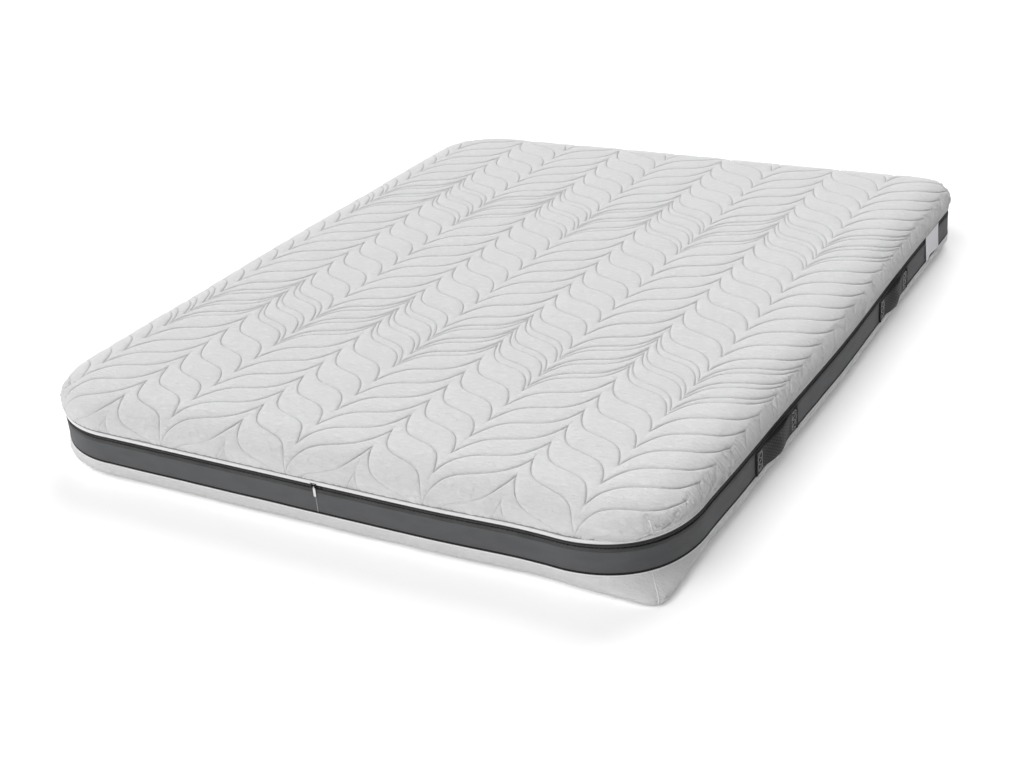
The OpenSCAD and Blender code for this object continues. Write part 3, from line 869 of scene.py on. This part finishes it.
def metal_material(name, color, roughness, metallic):
    mat, tree, bsdf = shader(name, color, roughness, metallic=metallic, specular=0.5)
    wear = texture(tree, "ShaderNodeTexNoise", Scale=900.0, Detail=4.0)
    tone = mix_colors(tree, wear.outputs["Fac"], scaled(color, 0.8), color)
    tree.links.new(tone, bsdf.inputs["Base Color"])
    tree.links.new(ramp(tree, wear.outputs["Fac"], 0.3, 0.7, roughness - 0.08, roughness + 0.12),
                   bsdf.inputs["Roughness"])
    add_bump(tree, bsdf, wear.outputs["Fac"], 0.00005, 0.5)
    return mat


WHITE = (0.68, 0.68, 0.685)
KNIT = knit_material("white_jacquard_knit", WHITE, sewn=True)
SKIRT_KNIT = knit_material("white_smooth_knit", WHITE, dots=0.3)
RIDGE = knit_material("white_seam_welt", (0.73, 0.73, 0.73), dots=0.0, streaks=0.4)
LINING = knit_material("backing_cloth_weave", (0.70, 0.70, 0.69), dots=0.0)
SLEEVE = knit_material("stockinette_knit", (0.74, 0.74, 0.71), dots=0.0)
HEM = knit_material("hem_tape_knit", (0.80, 0.80, 0.80), dots=0.0, streaks=0.4)
BAND = mesh_material("band_spacer_mesh", (0.096, 0.098, 0.101))
BLACK = mesh_material("black_edge_binding", (0.012, 0.012, 0.013), 0.002)
TWILL = mesh_material("dark_binding_twill", (0.040, 0.040, 0.041), 0.0068, contrast=0.95)
TAPE = mesh_material("zip_tape_twill", (0.026, 0.026, 0.027), 0.0062, contrast=0.9)
COIL = mesh_material("zip_coil_nylon", (0.062, 0.062, 0.064), 0.003, sheen=0.0)
WEBBING = mesh_material("handle_webbing_mesh", (0.026, 0.026, 0.027), 0.0075, contrast=0.95)
THREAD = mesh_material("grey_thread", (0.30, 0.30, 0.31), 0.001, woven=False)
DARK_THREAD = mesh_material("charcoal_thread", (0.36, 0.36, 0.365), 0.001, woven=False)
SATIN = knit_material("label_satin_weave", (0.74, 0.74, 0.77), dots=0.0, streaks=0.3)
CORE_FOAM = foam_material("support_foam_cells", (0.78, 0.75, 0.66), 0.004)
MEMORY_FOAM = foam_material("memory_foam_cells", (0.86, 0.80, 0.62), 0.0022)
BLACK_METAL = metal_material("black_enamel", (0.012, 0.012, 0.012), 0.35, 0.6)
SILVER_METAL = metal_material("bright_pull", (0.85, 0.85, 0.84), 0.25, 1.0)


# ---------------------------------------------------------------- pieces

def place(obj, body, slot_name, *nodes):
    if nodes:
        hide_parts(*nodes)
    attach(obj, body)
    return obj


def strip(name, source, thickness, r, material, body, slot_name, ripple=0.0, step=0.008, tooth=0.0,
          grow=(0, 0)):
    """A swept strip in the place of a CAD ring. grow moves its lower and upper edges."""
    low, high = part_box(source)
    outer = HALF_W - high[0]
    profile = rounded_profile(outer, outer + thickness, low[2] + grow[0], high[2] + grow[1], r,
                              2 if tooth else 3)
    obj = sweep_outline(name, profile, material, step, ripple, tooth=tooth)
    return place(obj, body, slot_name, source)


quilt = place(make_top_cover(KNIT), "top_cover", "cover_knit", "top_cover_knit", "top_cover_wadding")
place(make_top_lining(LINING), "top_cover", "backing_cloth", "top_cover_backing")
place(make_corner_ridges(RIDGE), "top_cover", "cover_knit")
skirt = place(make_bottom_skirt(SKIRT_KNIT), "mattress_base", "cover_knit",
              "bottom_cover_knit", "bottom_cover_wadding")
place(make_base_ridges(RIDGE), "mattress_base", "cover_knit")
underside = place(make_underside(KNIT), "mattress_base", "cover_knit")

welt_profile = rounded_profile(0.0016, 0.0060, *WELT_Z, 0.0014)
welt = sweep_outline("base_welt", welt_profile, HEM, ripple=0.0005, seed=9)
place(welt, "mattress_base", "cover_knit")
strip("border_band_mesh", "border_band", 0.003, 0.0012, BAND, "mattress_base", "band_mesh", 0.0007)
strip("band_lining_foam", "border_lining", 0.0053, 0.0015, LINING, "mattress_base", "wadding")
strip("lower_binding_edge", "lower_band_binding", 0.0033, 0.0011, BLACK, "mattress_base",
      "black_binding", 0.0007, grow=(-0.0029, 0.0014))
strip("upper_binding_twill", "upper_band_binding", 0.0033, 0.0008, TWILL, "mattress_base",
      "black_binding", 0.0007, grow=(-0.0055, 0.0))
for edge, body in (("lower", "mattress_base"), ("upper", "top_cover")):
    strip(edge + "_tape_twill", edge + "_zip_tape", 0.001, 0.0004, TAPE, body, "zip_tape")
for edge, body in (("lower", "mattress_base"), ("upper", "top_cover")):
    strip(edge + "_coil_teeth", edge + "_zip_coil", 0.0015, 0.0006, COIL, body, "zip_coil",
          step=0.0031, tooth=0.0009)
hem_lo, hem_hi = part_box("top_cover_hem")
hem_profile = rounded_profile(0.0016, 0.0070, hem_lo[2], hem_hi[2] + 0.0042, 0.0018)
hem = sweep_outline("cover_hem", hem_profile, HEM, side_tuck=HEM_TUCK)
place(hem, "top_cover", "hem_tape", "top_cover_hem")
# A thin grey strip sunk in the crease above the hem: partly the hem's seam thread, partly painted shade of
# that crease
thread_and_shade_profile = rounded_profile(0.0017, 0.0060, hem_hi[2] + 0.0046, hem_hi[2] + 0.0064, 0.0008)
hem_thread_and_shade_line = sweep_outline("cover_hem_thread_and_shade_line", thread_and_shade_profile, THREAD, side_tuck=SEAM_AND_SHADE_TUCK)
place(hem_thread_and_shade_line, "top_cover", "seam_thread")


def foam_shell(name, low, high, inset, round_top, material):
    """A foam block, or the sleeve round both blocks, with soft edges."""
    foot, lip = 0.012, 0.003
    levels = [(BAND_R, inset + foot * (1 - sin(t)), low + foot * (1 - cos(t)))
              for t in np.linspace(0, pi / 2, 6)]
    if round_top:
        levels.append((BAND_R, inset, SKIRT_Z))
        for t in np.linspace(0, pi / 2, 14):
            z = EDGE_Z + (high - EDGE_Z) * sin(t)
            share = float(smooth(TUCK_Z, SKIRT_Z, z))
            radii = [max(b, a) * share + a * (1 - share) for a, b in zip(TOP_R, BAND_R)]
            levels.append((radii, inset + (EDGE_A - inset) * (1 - cos(t)), z))
    else:
        levels += [(BAND_R, inset + lip * (1 - cos(t)), high - lip * (1 - sin(t)))
                   for t in np.linspace(0, pi / 2, 4)]
    return shell(name, levels, material)


core_lo, core_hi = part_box("support_core_foam")
memory_lo, memory_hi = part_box("memory_foam_layer")
sleeve_lo, sleeve_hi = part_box("inner_sleeve")
core = foam_shell("support_foam_block", core_lo[2], core_hi[2], CORE_INSET, False, CORE_FOAM)
place(core, "mattress_base", "support_foam", "support_core_foam")
memory = foam_shell("memory_foam_block", memory_lo[2], memory_hi[2], MEMORY_INSET, True, MEMORY_FOAM)
for vertex in memory.data.vertices:      # the layer is the sleeve's shape cut off at its lower face
    vertex.co.z = max(vertex.co.z, memory_lo[2] + 0.0002)
clean_mesh(memory)
place(memory, "mattress_base", "memory_foam", "memory_foam_layer")
sleeve = foam_shell("foam_sleeve", sleeve_lo[2], sleeve_hi[2], SLEEVE_INSET, True, SLEEVE)
place(sleeve, "mattress_base", "stockinette", "inner_sleeve")
backing_lo, backing_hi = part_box("bottom_cover_backing")
backing_levels = [(BAND_R, 0.030, backing_lo[2] + 0.0002), (BAND_R, 0.020, backing_lo[2] + 0.001),
                  (BAND_R, 0.0132, 0.020), (BAND_R, 0.0128, backing_hi[2])]
backing = shell("bottom_cover_inner", backing_levels, LINING, (True, False))
place(backing, "mattress_base", "backing_cloth", "bottom_cover_backing")

for row in ("front", "rear"):
    for side_name, side in (("right", 1), ("left", -1)):
        tag = row + "_" + side_name
        lo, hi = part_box("handle_patches_" + tag)
        y0 = (lo[1] + hi[1]) / 2
        for half, half_name in ((-1, "a"), (1, "b")):
            web = make_webbing("handle_webbing_" + tag + "_" + half_name, side, y0, half, WEBBING)
            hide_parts("handle_" + tag, "handle_patches_" + tag)
            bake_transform(web)
        place(make_end_tapes("handle_end_tapes_" + tag, side, y0, BLACK), "mattress_base", "black_binding")
        sewn = stitches("handle_stitching_" + tag, handle_stitch_lines(side, y0), DARK_THREAD)
        place(sewn, "mattress_base", "seam_thread")

label, label_size = make_label(SATIN)
place(label, "top_cover", "label_satin", "care_label")

for name, mat in (("zip_slider", BLACK_METAL), ("lower_zip_stop", BLACK_METAL),
                  ("upper_zip_stop", BLACK_METAL), ("zip_pull", SILVER_METAL), ("band_join_seam", THREAD)):
    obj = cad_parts[name]
    obj.data.materials.clear()
    obj.data.materials.append(mat)


# ---------------------------------------------------------------- stage

def sun(name, toward, energy, spread):
    data = bpy.data.lights.new(name, "SUN")
    data.energy = energy
    data.angle = radians(spread)
    lamp = bpy.data.objects.new(name, data)
    lamp.rotation_euler = Vector(toward).to_track_quat("Z", "Y").to_euler()
    bpy.context.scene.collection.objects.link(lamp)


def make_stage():
    mat, _, bsdf = shader("pale_floor", (0.96, 0.96, 0.96), 0.95, specular=0.02)
    bsdf.inputs["Emission Color"].default_value = (1, 1, 1, 1)
    bsdf.inputs["Emission Strength"].default_value = 0.15
    size = 30.0
    verts = [(-size, -size, 0), (size, -size, 0), (size, size, 0), (-size, size, 0)]
    floor = new_object("floor", verts, [(0, 1, 2, 3)], mat, settled=False)
    world = bpy.data.worlds.new("studio")
    bpy.context.scene.world = world
    world.use_nodes = True
    tree = world.node_tree
    background = tree.nodes["Background"]
    lamp_rays = tree.nodes.new("ShaderNodeLightPath")
    seen = tree.nodes.new("ShaderNodeMix")
    tree.links.new(lamp_rays.outputs["Is Camera Ray"], seen.inputs[0])
    seen.inputs[2].default_value = 0.01
    seen.inputs[3].default_value = 1.0
    background.inputs["Color"].default_value = (1, 1, 1, 1)
    tree.links.new(seen.outputs[0], background.inputs["Strength"])
    sun("back", (-0.15, 1.0, 0.60), 2.36, 50)
    sun("front", (-0.15, -0.80, 1.10), 2.12, 50)
    sun("side", (-1.0, 0.0, 0.60), 1.18, 60)
    bpy.context.scene.view_settings.view_transform = "Standard"


def make_camera():
    """From the front right, looking down along the mattress, the camera slightly rolled."""
    yaw, pitch, roll = radians(31.6157), radians(26.0564), radians(-5.1123)
    ahead = Vector((-sin(yaw) * cos(pitch), cos(yaw) * cos(pitch), -sin(pitch)))
    right = ahead.cross(Vector((0, 0, 1))).normalized()
    up = right.cross(ahead)
    side = right * cos(roll) + up * sin(roll)
    top = up * cos(roll) - right * sin(roll)
    data = bpy.data.cameras.new("camera")
    data.sensor_width = 36.0
    data.lens = 56.1
    data.clip_end = 100.0
    camera = bpy.data.objects.new("camera", data)
    matrix = Matrix((side, top, -ahead)).transposed().to_4x4()
    matrix.translation = (1.8369, -3.1567, 1.6721)
    camera.matrix_world = matrix
    bpy.context.scene.collection.objects.link(camera)
    bpy.context.scene.camera = camera


make_stage()
make_camera()

bpy.context.view_layer.update()
